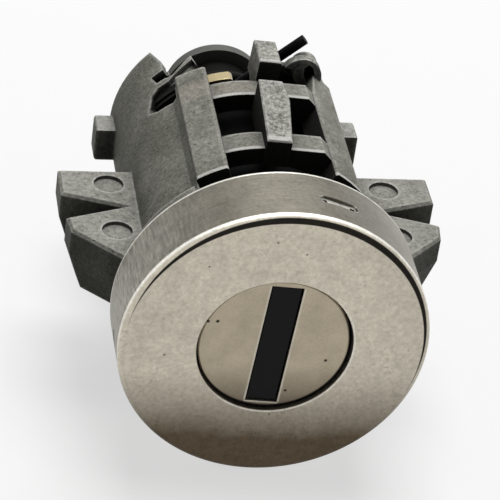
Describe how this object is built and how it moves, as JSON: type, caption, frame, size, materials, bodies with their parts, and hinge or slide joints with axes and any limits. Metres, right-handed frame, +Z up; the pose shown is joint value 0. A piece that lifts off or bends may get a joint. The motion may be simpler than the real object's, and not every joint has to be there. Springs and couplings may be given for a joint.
{
  "type": "car door lock",
  "caption": "Round car door lock with a shuttered key slot, a die-cast housing with side mounting ears, a return spring and a flat driving tang at the rear.",
  "frame": {"origin": "on the lock's axis, at the rear edge of the face cap, the plane that seats on the door handle", "axes": "+Y along the lock's axis to the rear, into the door; +Z up, along the upright key slot; +X to the right as the driver sees the lock"},
  "size_m": [0.0381, 0.0511, 0.03],
  "materials": {
    "cast_zinc": "die-cast zinc, as cast, matt and slightly grainy",
    "cap_steel": "satin stainless steel with small pits and scratches",
    "plug_zinc": "die-cast zinc, plain",
    "black_steel": "black coated steel, matt",
    "spring_steel": "plain spring wire",
    "black_spring": "black oiled spring wire",
    "brass": "stamped brass"
  },
  "bodies": {
    "lock_body": {"lock_housing": "cast_zinc", "face_cap": "cap_steel", "return_spring": "black_spring"},
    "plug": {"lock_plug": "plug_zinc", "plug_face_plate": "cap_steel", "shutter_pin": "spring_steel", "shutter_spring": "spring_steel", "retaining_spring": "spring_steel", "drive_plate": "plug_zinc", "drive_clip": "spring_steel", "wafer_spring_1": "spring_steel", "wafer_spring_2": "spring_steel", "wafer_spring_3": "spring_steel", "wafer_spring_4": "spring_steel", "wafer_spring_5": "spring_steel", "wafer_spring_6": "spring_steel", "wafer_spring_7": "spring_steel", "wafer_spring_8": "spring_steel"},
    "shutter": {"key_shutter": "black_steel"},
    "retainer": {"retaining_wafer": "brass"},
    "wafer_body_1": {"wafer_1": "brass"},
    "wafer_body_2": {"wafer_2": "brass"},
    "wafer_body_3": {"wafer_3": "brass"},
    "wafer_body_4": {"wafer_4": "brass"},
    "wafer_body_5": {"wafer_5": "brass"},
    "wafer_body_6": {"wafer_6": "brass"},
    "wafer_body_7": {"wafer_7": "brass"},
    "wafer_body_8": {"wafer_8": "brass"}
  },
  "joints": [
    {"name": "plug_turn", "type": "hinge", "parent": "lock_body", "child": "plug", "pos_m": [0, 0, 0], "axis": [0, 1, 0], "range_deg": [-50, 50], "stiffness_Nm_per_rad": 0.12, "deforming": ["return_spring"]},
    {"name": "shutter_swing", "type": "hinge", "parent": "plug", "child": "shutter", "pos_m": [-0.0025, -0.00575, 0], "axis": [0, 0, 1], "range_deg": [0, 88], "stiffness_Nm_per_rad": 0.0008, "springref_deg": -28.65, "deforming": ["shutter_spring"]},
    {"name": "retainer_slide", "type": "slide", "parent": "plug", "child": "retainer", "axis": [0, 0, 1], "range_m": [-0.0024, 0], "stiffness_N_per_m": 150, "springref_m": 0.002, "deforming": ["retaining_spring"]},
    {"name": "wafer_slide_1", "type": "slide", "parent": "plug", "child": "wafer_body_1", "axis": [0, 0, -1], "range_m": [0, 0.001], "stiffness_N_per_m": 60, "springref_m": 0.002, "deforming": ["wafer_spring_1"]},
    {"name": "wafer_slide_2", "type": "slide", "parent": "plug", "child": "wafer_body_2", "axis": [0, 0, -1], "range_m": [0, 0.001], "stiffness_N_per_m": 60, "springref_m": 0.002, "deforming": ["wafer_spring_2"]},
    {"name": "wafer_slide_3", "type": "slide", "parent": "plug", "child": "wafer_body_3", "axis": [0, 0, -1], "range_m": [0, 0.001], "stiffness_N_per_m": 60, "springref_m": 0.002, "deforming": ["wafer_spring_3"]},
    {"name": "wafer_slide_4", "type": "slide", "parent": "plug", "child": "wafer_body_4", "axis": [0, 0, -1], "range_m": [0, 0.001], "stiffness_N_per_m": 60, "springref_m": 0.002, "deforming": ["wafer_spring_4"]},
    {"name": "wafer_slide_5", "type": "slide", "parent": "plug", "child": "wafer_body_5", "axis": [0, 0, -1], "range_m": [0, 0.001], "stiffness_N_per_m": 60, "springref_m": 0.002, "deforming": ["wafer_spring_5"]},
    {"name": "wafer_slide_6", "type": "slide", "parent": "plug", "child": "wafer_body_6", "axis": [0, 0, -1], "range_m": [0, 0.001], "stiffness_N_per_m": 60, "springref_m": 0.002, "deforming": ["wafer_spring_6"]},
    {"name": "wafer_slide_7", "type": "slide", "parent": "plug", "child": "wafer_body_7", "axis": [0, 0, -1], "range_m": [0, 0.001], "stiffness_N_per_m": 60, "springref_m": 0.002, "deforming": ["wafer_spring_7"]},
    {"name": "wafer_slide_8", "type": "slide", "parent": "plug", "child": "wafer_body_8", "axis": [0, 0, -1], "range_m": [0, 0.001], "stiffness_N_per_m": 60, "springref_m": 0.002, "deforming": ["wafer_spring_8"]}
  ]
}
